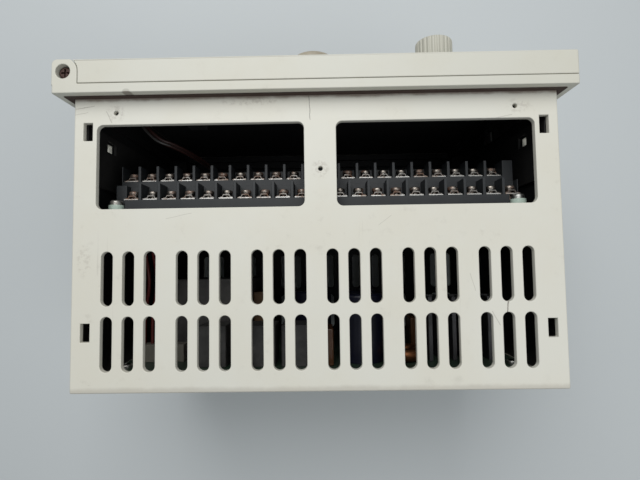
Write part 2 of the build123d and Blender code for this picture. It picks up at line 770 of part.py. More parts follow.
def makeTerminalBoardScrews():
    return [screwFacingFront(side * tabScrewX, -blockRear, z, smallHead, 2.0, smallShank, 5.0)
            for side in (-1, 1) for z in tabScrewZ]


def makePowerBoard():
    halfX, halfZ = rearBoardHalf
    board = block(-halfX, halfX, rearBoardFront - boardThickness, rearBoardFront, -halfZ, halfZ)
    for x in (-boardScrewX, boardScrewX):
        for z in (-boardScrewZ, boardScrewZ):
            board -= rodY(x, z, smallShank + runningFit, -caseDepth, 0)
    return board


def makeStandoffs():
    return [rodY(x, z, 3.0, rearInner, rearInner + rearBoardGap)
            - rodY(x, z, smallShank + runningFit, rearInner + 0.4, 0)
            for x in (-boardScrewX, boardScrewX) for z in (-boardScrewZ, boardScrewZ)]


def makePowerBoardScrews():
    return [screwFacingFront(x, rearBoardFront, z, smallHead, 2.0, smallShank, 4.6)
            for x in (-boardScrewX, boardScrewX) for z in (-boardScrewZ, boardScrewZ)]


def makeTransformerCore():
    core = block(*transformerX, rearBoardFront, rearBoardFront + transformerHeight,
                 *transformerZ)
    inset = transformerLimb
    window = block(transformerX[0] - 1, transformerX[1] + 1, rearBoardFront + inset,
                   rearBoardFront + transformerHeight - inset,
                   transformerZ[0] + inset, transformerZ[1] - inset)
    middle = (transformerZ[0] + transformerZ[1]) / 2
    limb = block(*transformerX, rearBoardFront + inset - 0.5,
                 rearBoardFront + transformerHeight - inset + 0.5,
                 middle - inset * 0.9, middle + inset * 0.9)
    return core - window + limb


def makeTransformerCoil():
    middle = (transformerZ[0] + transformerZ[1]) / 2
    reach = (transformerZ[1] - transformerZ[0]) / 2 - transformerLimb - 0.2
    low = rearBoardFront + transformerLimb + 0.2
    high = rearBoardFront + transformerHeight - transformerLimb - 0.2
    coil = block(transformerX[0] - 9, transformerX[1] + 9, low, high,
                 middle - reach, middle + reach)
    coil = fillet(coil.edges().filter_by(Axis.Y), 4.0)
    inner = transformerLimb * 0.9 + 0.1
    return coil - block(transformerX[0] - 0.1, transformerX[1] + 0.1, low - 1, high + 1,
                        middle - inner, middle + inner)


def makeCapacitors():
    cans = []
    for x, z, radius, height in capacitorCans:
        can = rodY(x, z, radius, rearBoardFront, rearBoardFront + height)
        cans.append(fillet(can.edges().sort_by(Axis.Y)[-1:], 1.5))
    return cans


def makeFilmCapacitors():
    return [fillet(block(x - 3.5, x + 3.5, rearBoardFront, rearBoardFront + 18, z - 9, z + 9)
                   .edges(), 0.8) for x, z in filmPlaces]


def makeRelays():
    return [fillet(block(x - 7, x + 7, rearBoardFront, rearBoardFront + 20, z - 9, z + 9)
                   .edges().filter_by(Axis.Y), 0.8)
            for x, z in relayPlaces]


def makeChoke():
    x, z = chokePlace
    ring = Torus(*chokeRadii)
    return Pos(x, rearBoardFront + chokeRadii[1] + 0.1, z) * Rot(90, 0, 0) * ring


def makeHeatSink():
    sink = block(*heatSinkX, rearBoardFront, rearBoardFront + heatSinkHeight, *heatSinkZ)
    pitch = (heatSinkX[1] - heatSinkX[0] - 2.0) / heatSinkFins
    for index in range(heatSinkFins):
        x = heatSinkX[0] + 2.0 + index * pitch
        sink -= block(x, x + pitch - 2.0, rearBoardFront - 1,
                      rearBoardFront + heatSinkHeight + 1, heatSinkZ[0] + 4, heatSinkZ[1] + 1)
    return sink


def makePowerTransistors():
    return [block(x - 5, x + 5, rearBoardFront + 8, rearBoardFront + 24,
                  heatSinkZ[0] - 4.8, heatSinkZ[0] - 0.2) for x in transistorPlaces]


def makeFuse():
    return rodX(rearBoardFront + fuseLift, fuseZ, fuseRadius, *fuseX)


def makeFuseClips():
    clips = []
    for x in (fuseX[0] + 3, fuseX[1] - 3):
        clip = block(x - 2.5, x + 2.5, rearBoardFront, rearBoardFront + fuseLift + 3,
                     fuseZ - 3.6, fuseZ + 3.6)
        clip -= rodX(rearBoardFront + fuseLift, fuseZ, fuseRadius + 0.1, x - 5, x + 5)
        clips.append(clip - block(x - 3, x + 3, rearBoardFront + fuseLift + 1.5,
                                  rearBoardFront + fuseLift + 4, fuseZ - 1.6, fuseZ + 1.6))
    return clips


def makeControlChips():
    return [block(x - width / 2, x + width / 2, -blockRear, -blockRear + 3.6,
                  z - height / 2, z + height / 2) for x, z, width, height in chipPlaces]


def makeConnectors():
    sockets = [block(x - 9, x + 9, -blockRear, headerLift - blockRear, 6.0, 14.0)
               for x in headerPlaces]
    top = rearBoardFront + headerLift
    sockets.append(block(-96.0, -70.0, rearBoardFront, top, 34.0, 42.0))
    sockets.append(block(20.0, 40.0, rearBoardFront, top, -44.0, -36.0))
    return sockets


# ---- wiring ----
def makeCable(points, thickness=cableRadius):
    """A round cable along straight runs joined by arcs as large as the runs allow."""
    corners = [Vector(*point) for point in points]
    radii = []
    for before, corner, after in zip(corners, corners[1:], corners[2:]):
        turn = math.radians((corner - before).get_angle(after - corner))
        run = min((corner - before).length, (after - corner).length)
        radii.append(0.45 * run / math.tan(turn / 2))
    route = FilletPolyline(*corners, radius=radii)
    section = Plane(origin=route @ 0, z_dir=route % 0)
    return sweep(section * Circle(thickness), path=route)


def makeCablePlugs():
    doorPlug = block(doorPlugX - 5, doorPlugX + 5, 1.0, displayBoardFront - boardThickness,
                     doorPlugZ[0] + 1, doorPlugZ[1] - 1)
    casePlug = block(casePlugX - 5, casePlugX + 5, -blockRear, casePlugFront, *casePlugZ)
    return doorPlug, casePlug


def makeWires():
    """Four wires from the power board's header up to the terminal board."""
    wires = []
    start = rearBoardFront + headerLift
    gap = terminalBoardRear - start
    for index in range(wireCount):
        x = wireFirstX + index * wirePitch
        wires.append(makeCable(((x, start, wireZ), (x, start + gap * 0.22, wireZ),
                                (x + 6.0, start + gap * 0.52, wireZ + 8),
                                (x + 2.0, start + gap * 0.78, wireZ + 6),
                                (x + 2.0, terminalBoardRear, wireZ + 6)), wireRadius))
    return wires


# ---- write every node ----
os.makedirs("parts", exist_ok=True)
save("rear_case", makeRearCase())
save("panel_gasket", makePanelGasket())
save("bezel_frame", makeBezelFrame())
save("bezel_frame_screws", *makeFrameScrews())
save("hinge_screws", *makeHingeScrews())
save("latch_strike", makeLatchStrike())
save("door_panel", makeDoorPanel())
save("front_overlay", makeOverlay())
save("door_shield", makeDoorShield())
save("display_window", makeDisplayWindow())
save("display_module", makeDisplayModule())
save("display_board", makeDisplayBoard())
save("display_board_screws", *makeDisplayBoardScrews())
save("status_leds", *makeLeds())
save("led_board", makeLedBoard())
save("key_switches", *makeKeySwitches())
for number, x in enumerate(keyCentres, start=1):
    save("key_" + str(number), makeKey(x))
save("knob", makeKnob())
save("knob_set_screw", makeKnobSetScrew())
save("potentiometer_shaft", makePotShaft())
save("potentiometer_body", makePotBody(), *makePotTerminals())
save("potentiometer_nut", makePotNut())
save("button_collar", makeButtonCollar())
save("button_switch", makeButtonSwitch())
save("round_button", makeButtonCap())
save("button_spring", makeButtonSpring())
save("terminal_block", makeTerminalBlock())
save("terminal_plates", *onBothTiers(makeTerminalPlates))
save("terminal_clamps", *onBothTiers(makeTerminalClamps))
save("terminal_spring_washers", *onBothTiers(makeSpringWashers))
save("terminal_screws", *onBothTiers(makeTerminalScrews))
save("block_washers", *makeBlockWashers())
save("block_mounting_screws", *makeBlockScrews())
save("terminal_board", makeTerminalBoard())
save("terminal_board_screws", *makeTerminalBoardScrews())
save("left_side_plate", makeSidePlate(-1))
save("right_side_plate", makeSidePlate(1))
save("power_board", makePowerBoard())
save("power_board_standoffs", *makeStandoffs())
save("power_board_screws", *makePowerBoardScrews())
save("transformer_core", makeTransformerCore())
save("transformer_coil", makeTransformerCoil())
save("smoothing_capacitors", *makeCapacitors())
save("film_capacitors", *makeFilmCapacitors())
save("relays", *makeRelays())
save("choke", makeChoke())
save("heat_sink", makeHeatSink())
save("power_transistors", *makePowerTransistors())
save("fuse", makeFuse())
save("fuse_clips", *makeFuseClips())
save("control_chips", *makeControlChips())
save("board_connectors", *makeConnectors())
doorPlug, casePlug = makeCablePlugs()
save("door_cable_plug", doorPlug)
save("case_cable_plug", casePlug)
save("door_cable", makeCable(doorCablePoints))
save("case_cable", makeCable(caseCablePoints))
save("power_wires", *makeWires())
print("nodes written:", len(os.listdir("parts")))
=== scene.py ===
import json
import math
import bmesh
import bpy
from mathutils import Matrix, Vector
from mathutils.bvhtree import BVHTree


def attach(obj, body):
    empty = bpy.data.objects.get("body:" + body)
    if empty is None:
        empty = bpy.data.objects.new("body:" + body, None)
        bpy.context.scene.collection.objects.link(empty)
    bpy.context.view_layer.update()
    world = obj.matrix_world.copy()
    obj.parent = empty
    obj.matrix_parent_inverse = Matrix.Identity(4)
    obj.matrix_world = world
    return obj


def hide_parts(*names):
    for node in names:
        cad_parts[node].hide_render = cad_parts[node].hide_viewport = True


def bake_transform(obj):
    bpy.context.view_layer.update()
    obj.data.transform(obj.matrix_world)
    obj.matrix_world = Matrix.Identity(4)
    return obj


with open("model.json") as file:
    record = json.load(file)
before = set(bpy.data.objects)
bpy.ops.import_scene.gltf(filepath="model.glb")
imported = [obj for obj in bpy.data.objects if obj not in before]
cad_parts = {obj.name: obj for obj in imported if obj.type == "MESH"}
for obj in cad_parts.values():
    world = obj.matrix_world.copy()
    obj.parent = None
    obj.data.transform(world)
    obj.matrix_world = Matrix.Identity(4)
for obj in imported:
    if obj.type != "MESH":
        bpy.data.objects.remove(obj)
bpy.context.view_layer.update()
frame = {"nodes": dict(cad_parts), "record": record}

mm = 0.001
finishes = {}

# short names for the shader's sockets
shaderSockets = {
    "colour": "Base Color", "roughness": "Roughness", "metallic": "Metallic",
    "coat": "Coat Weight", "coatRoughness": "Coat Roughness", "normal": "Normal",
    "transmission": "Transmission Weight", "ior": "IOR", "specular": "Specular IOR Level",
}


class Wire:
    # one socket of a material, with arithmetic on it
    def __init__(self, finish, socket):
        self.finish = finish
        self.socket = socket

    def maths(self, operation, *values):
        inputs = dict(enumerate((self,) + values))
        return self.finish.node("Math", {"operation": operation}, inputs)

    def __add__(self, other):
        return self.maths("ADD", other)

    def __radd__(self, other):
        return self.maths("ADD", other)

    def __sub__(self, other):
        return self.maths("SUBTRACT", other)

    def __rsub__(self, other):
        return self.finish.node("Math", {"operation": "SUBTRACT"}, {0: other, 1: self})

    def __mul__(self, other):
        return self.maths("MULTIPLY", other)

    def __rmul__(self, other):
        return self.maths("MULTIPLY", other)

    def __truediv__(self, other):
        return self.maths("DIVIDE", other)

    def __pow__(self, other):
        return self.maths("POWER", other)

    def __abs__(self):
        return self.maths("ABSOLUTE")

    def least(self, other):
        return self.maths("MINIMUM", other)

    def most(self, other):
        return self.maths("MAXIMUM", other)

    def above(self, limit, soft):
        # 0 below the limit, 1 above it, over a soft step
        return self.finish.step(self, limit - soft, limit + soft)

    def below(self, limit, soft):
        return 1 - self.above(limit, soft)


class Finish:
    # a procedural material; lengths are in metres
    def __init__(self, name, **fixed):
        self.material = bpy.data.materials.new(name)
        self.material.use_nodes = True
        self.tree = self.material.node_tree
        self.shader = self.tree.nodes["Principled BSDF"]
        self.place = None
        self.set(**fixed)
        finishes[name] = self.material

    def node(self, kind, settings=None, inputs=None, output=0):
        made = self.tree.nodes.new("ShaderNode" + kind)
        for key, value in (settings or {}).items():
            setattr(made, key, value)
        for key, value in (inputs or {}).items():
            self.feed(made.inputs[key], value)
        return Wire(self, made.outputs[output])

    def feed(self, socket, value):
        if isinstance(value, Wire):
            self.tree.links.new(value.socket, socket)
        elif isinstance(value, tuple) and socket.type == "RGBA":
            socket.default_value = (*value, 1)
        else:
            socket.default_value = value

    def set(self, **values):
        for key, value in values.items():
            self.feed(self.shader.inputs[shaderSockets[key]], value)

    def coords(self):
        # the piece's own coordinates, which are the frame's at rest
        if self.place is None:
            self.place = self.node("TexCoord", output=3)
        return self.place

    def axes(self):
        split = self.node("SeparateXYZ", None, {0: self.coords()})
        return [Wire(self, output) for output in split.socket.node.outputs]

    def facing(self, axis):
        # how far the surface faces along one of the piece's own axes
        normal = self.node("TexCoord", output=1)
        return self.node("SeparateXYZ", None, {0: normal}, "XYZ".index(axis))

    def spread(self, size, stretch, shift=0.0):
        return self.node("Mapping", None, {0: self.coords(), 1: (shift,) * 3,
                                           3: tuple(s / size for s in stretch)})

    def noise(self, size, detail=3.0, rough=0.55, stretch=(1, 1, 1), bend=0.0, shift=0.0):
        # size is that of one blotch
        return self.node("TexNoise", None, {
            "Vector": self.spread(size, stretch, shift), "Scale": 1.0, "Detail": detail,
            "Roughness": rough, "Distortion": bend})

    def cells(self, size, stretch=(1, 1, 1), output=0):
        where = self.spread(size, stretch)
        return self.node("TexVoronoi", None, {"Vector": where, "Scale": 1.0}, output)

    def step(self, value, low, high):
        return self.node("MapRange", {"interpolation_type": "SMOOTHSTEP"},
                         {0: value, 1: low, 2: high, 3: 0.0, 4: 1.0})

    def mix(self, amount, first, second):
        return self.node("Mix", {"data_type": "RGBA"}, {0: amount, 6: first, 7: second}, 2)

    def bump(self, height, depth, strength=1.0, under=None):
        # depth is the height of a full step
        inputs = {"Height": height, "Distance": depth, "Strength": strength}
        if under is not None:
            inputs["Normal"] = under
        return self.node("Bump", None, inputs)

    def stroke(self, start, end, width, wobble):
        # a line across x and y that strays from straight by the wobble
        x, y = self.axes()[:2]
        stray = (self.noise(4 * mm, 3, 0.6, shift=start[0] * 300) - 0.5) * wobble
        x, y = x + stray, y + stray
        run = Vector(end) - Vector(start)
        along = ((x - start[0]) * run.x + (y - start[1]) * run.y) / run.length_squared
        along = along.most(0.0).least(1.0)
        across = (x - start[0] - along * run.x) ** 2 + (y - start[1] - along * run.y) ** 2
        return (across ** 0.5).below(width * 0.75, width * 0.5)

    def patch(self, centre, reach, soft=0.5):
        # an oval across x and y, fading towards its rim
        x, y = self.axes()[:2]
        away = (((x - centre[0]) / reach[0]) ** 2 + ((y - centre[1]) / reach[1]) ** 2) ** 0.5
        return 1 - self.step(away, 1 - soft, 1.0)


# cream mouldings
caseLook = {
    "colour": (0.605, 0.592, 0.525),
    "warm": (0.585, 0.555, 0.465),
    "dirt": (0.15, 0.125, 0.095),
    "scuffed": (0.36, 0.34, 0.30),
    "warmth": 0.55,
    "smudges": 0.16,
    "spots": 0.30,
    "scuffs": 0.22,
    "roughness": 0.47,
    "grain": 0.45 * mm,
    "grainDepth": 0.016 * mm,
    "waves": 35 * mm,
    "waveDepth": 0.25 * mm,
}
bezelLook = dict(caseLook, colour=(0.535, 0.525, 0.46), warm=(0.515, 0.49, 0.405))
knobLook = dict(caseLook, colour=(0.44, 0.43, 0.365), warm=(0.40, 0.385, 0.315))


def mouldedPlastic(name, look, grime, marks=()):
    shade = Finish(name, specular=0.42)
    broad = shade.noise(60 * mm, 4, 0.6)
    fine = shade.noise(6 * mm, 5, 0.65, shift=3.0)
    specks = shade.noise(1.1 * mm, 2, 0.5, shift=9.0)
    scratches = shade.noise(1.4 * mm, 2, 0.5, stretch=(1, 0.035, 1), bend=0.4, shift=5.0)
    warm = shade.step(broad, 0.35, 0.7) * look["warmth"]
    smudge = shade.step(fine, 0.56, 0.78) * shade.step(broad, 0.4, 0.62)
    smudge = smudge * (look["smudges"] * grime)
    spots = shade.step(specks, 0.71, 0.76) * shade.step(fine, 0.5, 0.7)
    spots = spots * (look["spots"] * grime)
    scuffs = shade.step(scratches, 0.715, 0.74) * shade.step(broad, 0.45, 0.6)
    scuffs = scuffs * (look["scuffs"] * grime)
    colour = look["colour"]
    for amount, over in ((warm, "warm"), (smudge, "dirt"), (spots, "dirt"), (scuffs, "scuffed")):
        colour = shade.mix(amount, colour, look[over])
    for mark in marks:
        colour = mark(shade, colour)
    grain = shade.noise(look["grain"], 2, 0.5)
    waves = shade.noise(look["waves"], 2, 0.4, shift=2.0)
    normal = shade.bump(grain, look["grainDepth"], 0.8)
    normal = shade.bump(waves, look["waveDepth"], 0.35, normal)
    rough = look["roughness"] + 0.10 * (fine - 0.5) + 0.12 * smudge
    shade.set(colour=colour, roughness=rough, normal=normal)


# darker brown along the case's front and rear edges
edgeDarkening = {
    "front": 0.0520, "frontReach": 2.6 * mm, "frontAmount": 0.75,
    "frontColour": (0.16, 0.105, 0.075),
    "rear": -0.0850, "rearReach": 2.4 * mm, "rearAmount": 0.35,
    "rearColour": (0.25, 0.22, 0.18),
}


# darkens the colour towards the case's front and rear edges
def darkerAtEdges(shade, colour):
    y = shade.axes()[1]
    blotch = shade.noise(9 * mm, 4, 0.65, shift=1.0)
    front = (y - edgeDarkening["front"] + blotch * edgeDarkening["frontReach"]).above(0.0, 0.9 * mm)
    colour = shade.mix(front * edgeDarkening["frontAmount"], colour, edgeDarkening["frontColour"])
    rear = (edgeDarkening["rear"] - y + blotch * edgeDarkening["rearReach"]).above(0.0, 1.2 * mm)
    return shade.mix(rear * edgeDarkening["rearAmount"], colour, edgeDarkening["rearColour"])


# cracks, scratches and rubbed places of the upper face
faceWear = {
    "dark": (0.14, 0.12, 0.10),
    "rubbed": (0.30, 0.26, 0.22),
    # start, end, width, wobble and strength
    "lines": (
        ((-0.0025, 0.0515), (-0.0020, 0.0400), 0.22 * mm, 1.2 * mm, 0.75),
        ((0.0873, -0.0462), (0.0868, -0.0514), 0.36 * mm, 1.2 * mm, 0.9),
        ((0.0800, -0.0508), (0.0833, -0.0570), 0.26 * mm, 0.3 * mm, 0.35),
        ((0.0704, -0.0333), (0.0727, -0.0412), 0.20 * mm, 0.3 * mm, 0.28),
        ((0.0850, 0.0390), (0.0925, 0.0405), 0.25 * mm, 1.0 * mm, 0.3),
        ((-0.1135, 0.0468), (-0.1045, 0.0482), 0.20 * mm, 1.6 * mm, 0.55),
        ((-0.1135, 0.0440), (-0.1075, 0.0452), 0.16 * mm, 1.2 * mm, 0.4),
        ((-0.0985, 0.0455), (-0.0960, 0.0400), 0.30 * mm, 0.6 * mm, 0.35),
        ((-0.0700, -0.0060), (-0.0580, -0.0035), 0.15 * mm, 0.6 * mm, 0.3),
        ((0.0290, -0.0105), (0.0350, -0.0060), 0.14 * mm, 0.4 * mm, 0.3),
    ),
    # centre, reach and strength
    "patches": (
        ((-0.0940, 0.0447), (0.0060, 0.0050), 0.35),
        ((0.0955, 0.0447), (0.0070, 0.0045), 0.30),
        ((0.0025, 0.0165), (0.0050, 0.0060), 0.35),
        ((-0.1080, -0.0250), (0.0045, 0.0100), 0.25),
        ((-0.0300, 0.0490), (0.0180, 0.0022), 0.40),
    ),
}


def caseWear(shade, colour):
    upper = shade.facing("Z").above(0.5, 0.2)
    for start, end, width, wobble, amount in faceWear["lines"]:
        line = shade.stroke(start, end, width, wobble) * upper * amount
        colour = shade.mix(line, colour, faceWear["dark"])
    ragged = shade.noise(2.2 * mm, 4, 0.7, shift=8.0)
    for centre, reach, amount in faceWear["patches"]:
        worn = shade.patch(centre, reach) * shade.step(ragged, 0.45, 0.62) * upper * amount
        colour = shade.mix(worn, colour, faceWear["rubbed"])
    return colour


# a chip in the lower edge of the lip, with a dark rim under it
chipLook = {
    "centre": (-0.0862, 0.0524), "reach": (0.0020, 0.0013), "colour": (0.38, 0.37, 0.32),
    "rimCentre": (-0.0862, 0.0518), "rimReach": (0.0026, 0.0007), "rimColour": (0.12, 0.09, 0.07),
}


def lipChip(shade, colour):
    chip = shade.patch(chipLook["centre"], chipLook["reach"], 0.3)
    ragged = shade.noise(1.2 * mm, 3, 0.6, shift=2.0)
    colour = shade.mix(chip * (0.55 + 0.45 * ragged), colour, chipLook["colour"])
    rim = shade.patch(chipLook["rimCentre"], chipLook["rimReach"], 0.3)
    return shade.mix(rim * 0.6, colour, chipLook["rimColour"])


# painted shade: the inside of the case's walls painted near black, for the shade deep inside the
# case
insideShade = {
    "colour": (0.010, 0.010, 0.010), "soft": 0.1 * mm, "middle": 0.0750,
    "halfWidth": 0.1113, "halfHeight": 0.0653, "rear": -0.0827, "front": 0.0562,
}


# paints the shade inside the case's walls as near black
def paintedInsideShade(shade, colour):
    x, y, z = shade.axes()
    soft = insideShade["soft"]
    inside = abs(x).below(insideShade["halfWidth"], soft)
    inside = inside * abs(z - insideShade["middle"]).below(insideShade["halfHeight"], soft)
    inside = inside * y.above(insideShade["rear"], soft) * y.below(insideShade["front"], soft)
    return shade.mix(inside, colour, insideShade["colour"])


# the case and bezel mouldings both carry the painted shade on their inside walls
mouldedPlastic("caseAbs", caseLook, 1.0, (darkerAtEdges, caseWear, paintedInsideShade))
mouldedPlastic("bezelAbs", bezelLook, 0.7, (lipChip, paintedInsideShade))
mouldedPlastic("knobAbs", knobLook, 0.8)

# colour, dust and roughness of each dark moulding, sheet or sheath
darkMouldings = {
    # blockPlastic is made darker as painted shade for the dark inside of the case
    "blockPlastic": ((0.0080, 0.0100, 0.0115), 0.03, 0.5),
    "blackPlastic": ((0.018, 0.018, 0.020), 0.45, 0.45),
    # near black: painted shade for the side plates deep in the case, not their own colour
    "shadedChassis": ((0.010, 0.0095, 0.009), 0.10, 0.6),
    # this near-black sheet stands in for the shade behind the door
    "shadowSheet": ((0.008, 0.008, 0.0085), 0.04, 0.6),
    "cableSheath": ((0.030, 0.026, 0.025), 0.3, 0.5),
    "relayCover": ((0.035, 0.034, 0.032), 0.2, 0.55),
    "foam": ((0.040, 0.022, 0.016), 0.2, 0.9),
}
dustColour = (0.20, 0.195, 0.18)


def darkMoulding(name, colour, dusty, roughness):
    shade = Finish(name, specular=0.45)
    broad = shade.noise(9 * mm, 4, 0.6)
    fine = shade.noise(0.5 * mm, 3, 0.6)
    upward = shade.facing("Z").most(0.0)
    dust = shade.step(broad, 0.35, 0.7) * (0.25 + 0.75 * upward) * dusty
    paint = shade.mix(fine * 0.4, colour, tuple(c * 1.5 for c in colour))
    paint = shade.mix(dust, paint, dustColour)
    shade.set(colour=paint, roughness=roughness + 0.25 * dust,
              normal=shade.bump(fine, 0.012 * mm))


for name, look in darkMouldings.items():
    darkMoulding(name, *look)

# colour, tarnish, how far it has spread, and roughness of each metal
metals = {
    # nickelScrew and clampSteel are darker than the bare metals, as painted shade for the dark
    # inside that they reflect
    "nickelScrew": ((0.30, 0.27, 0.235), (0.13, 0.045, 0.018), 0.85, 0.28),
    "clampSteel": ((0.19, 0.18, 0.165), (0.13, 0.050, 0.018), 0.8, 0.34),
    "tinPlate": ((0.50, 0.49, 0.465), (0.24, 0.12, 0.05), 0.55, 0.36),
    "plainScrew": ((0.46, 0.46, 0.43), (0.22, 0.16, 0.10), 0.35, 0.32),
    "aluminium": ((0.12, 0.12, 0.125), (0.06, 0.055, 0.05), 0.3, 0.5),
    "copperWire": ((0.22, 0.09, 0.04), (0.09, 0.04, 0.02), 0.4, 0.4),
}
screwPitch = 9.5 * mm  # each screw of a row tarnishes by its own amount


def platedSteel(name, colour, tarnish, amount, roughness):
    shade = Finish(name, metallic=1.0)
    each = shade.node("SeparateColor", None, {0: shade.cells(screwPitch, output=1)})
    blotch = shade.noise(1.6 * mm, 4, 0.65)
    film = shade.noise(0.35 * mm, 2, 0.5, shift=4.0)
    brushed = shade.noise(0.12 * mm, 2, 0.5, stretch=(1, 0.05, 1))
    rusty = shade.step(blotch + 0.35 * (each - 0.5), 0.60 - 0.2 * amount, 0.80) * amount
    metal = shade.mix(each * 0.6, colour, tuple(c * 0.72 for c in colour))
    metal = shade.mix(rusty, metal, tarnish)
    shade.set(colour=metal, roughness=roughness + 0.35 * rusty + 0.12 * film,
              metallic=1 - 0.75 * rusty, normal=shade.bump(brushed + blotch, 0.01 * mm))


for name, look in metals.items():
    platedSteel(name, *look)

# the board colour is darker than a bare board: painted shade for the dark inside of the case
boardLook = {
    "colour": (0.010, 0.026, 0.015), "tracks": (0.030, 0.062, 0.034), "dust": (0.16, 0.155, 0.14),
    "trackPitch": 2.6 * mm, "trackStretch": (1, 1, 0.22), "trackDepth": 0.03 * mm,
}


def circuitBoard(name, look):
    shade = Finish(name, specular=0.5, coat=0.25, coatRoughness=0.35)
    gaps = shade.step(shade.cells(look["trackPitch"], look["trackStretch"]), 0.30, 0.36)
    cloth = shade.noise(0.7 * mm, 2, 0.5)
    dust = shade.noise(14 * mm, 4, 0.6, shift=7.0)
    paint = shade.mix(gaps * 0.55, look["tracks"], look["colour"])
    paint = shade.mix(cloth * 0.2, paint, tuple(c * 0.6 for c in look["colour"]))
    paint = shade.mix(shade.step(dust, 0.4, 0.75) * 0.15, paint, look["dust"])
    shade.set(colour=paint, roughness=0.42 + 0.2 * dust,
              normal=shade.bump(gaps, look["trackDepth"]))


circuitBoard("greenBoard", boardLook)

# plain finishes; vary is how far the darker blotches show
paints = {
    "darkScrew": {"colour": (0.050, 0.022, 0.016), "roughness": 0.45, "metallic": 0.4},
    "fibreWasher": {"colour": (0.46, 0.56, 0.48), "roughness": 0.6, "vary": 0.2},
    "buttonPlastic": {"colour": (0.33, 0.29, 0.22), "roughness": 0.5},
    "collarPlastic": {"colour": (0.42, 0.38, 0.31), "roughness": 0.4},
    "keyPlastic": {"colour": (0.30, 0.32, 0.33), "roughness": 0.5},
    "capSleeve": {"colour": (0.007, 0.008, 0.020), "roughness": 0.34, "vary": 0.3},
    "dippedResin": {"colour": (0.10, 0.045, 0.020), "roughness": 0.25, "vary": 0.4},
    "amberTape": {"colour": (0.14, 0.075, 0.030), "roughness": 0.35, "vary": 0.4},
    "lamination": {"colour": (0.10, 0.095, 0.09), "roughness": 0.5, "metallic": 0.5},
    "creamPlug": {"colour": (0.16, 0.15, 0.12), "roughness": 0.5, "vary": 0.25},
    "redWire": {"colour": (0.10, 0.012, 0.009), "roughness": 0.42, "vary": 0.25},
    "brassShaft": {"colour": (0.62, 0.50, 0.26), "roughness": 0.32, "metallic": 1.0},
    "redLens": {"colour": (0.42, 0.02, 0.015), "roughness": 0.25, "coat": 0.4},
    "displayFace": {"colour": (0.012, 0.006, 0.006), "roughness": 0.3},
    "digitRed": {"colour": (0.34, 0.040, 0.028), "roughness": 0.35},
    "strandGrey": {"colour": (0.045, 0.042, 0.040), "roughness": 0.42},
    "strandRed": {"colour": (0.030, 0.010, 0.008), "roughness": 0.45},
}


def plainPaint(name, colour, roughness, vary=0.35, **fixed):
    shade = Finish(name, **fixed)
    blotch = shade.noise(3 * mm, 4, 0.6)
    fine = shade.noise(0.4 * mm, 2, 0.5, shift=6.0)
    dark = tuple(c * 0.55 for c in colour)
    shade.set(colour=shade.mix(shade.step(blotch, 0.3, 0.7) * vary, colour, dark),
              roughness=roughness + 0.12 * (blotch - 0.5), normal=shade.bump(fine, 0.02 * mm))


for name, look in paints.items():
    plainPaint(name, **look)

# the printed front; places are across x and z
frontPanel = {
    "colour": (0.39, 0.385, 0.35),
    "ink": (0.035, 0.038, 0.045),
    "stain": (0.20, 0.18, 0.15),
    "knob": (0.0622, 0.1230),
    "dialReach": (12.6 * mm, 15.6 * mm),
    "dialTicks": 12,
    "dialGap": 3 * mm,
    "window": ((-0.0340, 0.0450), (0.0560, 0.0200)),
    "windowMargin": 2.4 * mm,
    "windowLine": 0.35 * mm,
    "keys": (-0.0780, -0.0520, -0.0260, 0.0),
    "keyHeight": 0.0870,
    "keyHalf": (0.0070, 0.0045),
    "keyMargin": 1.5 * mm,
    "keyLine": 0.18 * mm,
    "lamps": (0.0520, 0.0680, 0.0840, 0.1000),
    "labelHeight": 0.0360,
    "labelHalf": (4 * mm, 0.5 * mm),
    "crisp": 0.05 * mm,
}


def printedFilm(name, look):
    shade = Finish(name, specular=0.5)
    x, y, z = shade.axes()
    crisp = look["crisp"]

    def outline(centre, half, margin, width):
        # a printed line a margin outside a rectangle
        outside = (abs(x - centre[0]) - half[0]).most(abs(z - centre[1]) - half[1])
        return abs(outside - margin).below(width, crisp)

    across, up = x - look["knob"][0], z - look["knob"][1]
    reach = (across ** 2 + up ** 2) ** 0.5
    turn = (up.maths("ARCTAN2", across) * (look["dialTicks"] / 2)).maths("SINE")
    dial = abs(turn).below(0.14, 0.04) * reach.above(look["dialReach"][0], crisp)
    dial = dial * reach.below(look["dialReach"][1], crisp)
    gap = abs(across).below(look["dialGap"], 2 * crisp) * up.below(0.0, 2 * crisp)
    inked = (dial * (1 - gap)).most(outline(*look["window"], look["windowMargin"],
                                            look["windowLine"]))
    for place in look["keys"]:
        inked = inked.most(outline((place, look["keyHeight"]), look["keyHalf"],
                                   look["keyMargin"], look["keyLine"]))
    row = abs(z - look["labelHeight"]).below(look["labelHalf"][1], 2 * crisp)
    for place in look["lamps"]:
        inked = inked.most(abs(x - place).below(look["labelHalf"][0], 2 * crisp) * row)
    broad = shade.noise(40 * mm, 4, 0.6)
    grain = shade.noise(0.5 * mm, 2, 0.5)
    rubbed = shade.noise(7 * mm, 5, 0.7, shift=6.0)
    paint = shade.mix(broad * 0.3, look["colour"], tuple(c * 0.85 for c in look["colour"]))
    paint = shade.mix(inked * (1 - 0.4 * shade.step(rubbed, 0.55, 0.7)), paint, look["ink"])
    paint = shade.mix(shade.step(rubbed, 0.62, 0.8) * 0.2, paint, look["stain"])
    shade.set(colour=paint, roughness=0.42 + 0.15 * (rubbed - 0.5),
              normal=shade.bump(grain, 0.01 * mm))


printedFilm("film", frontPanel)

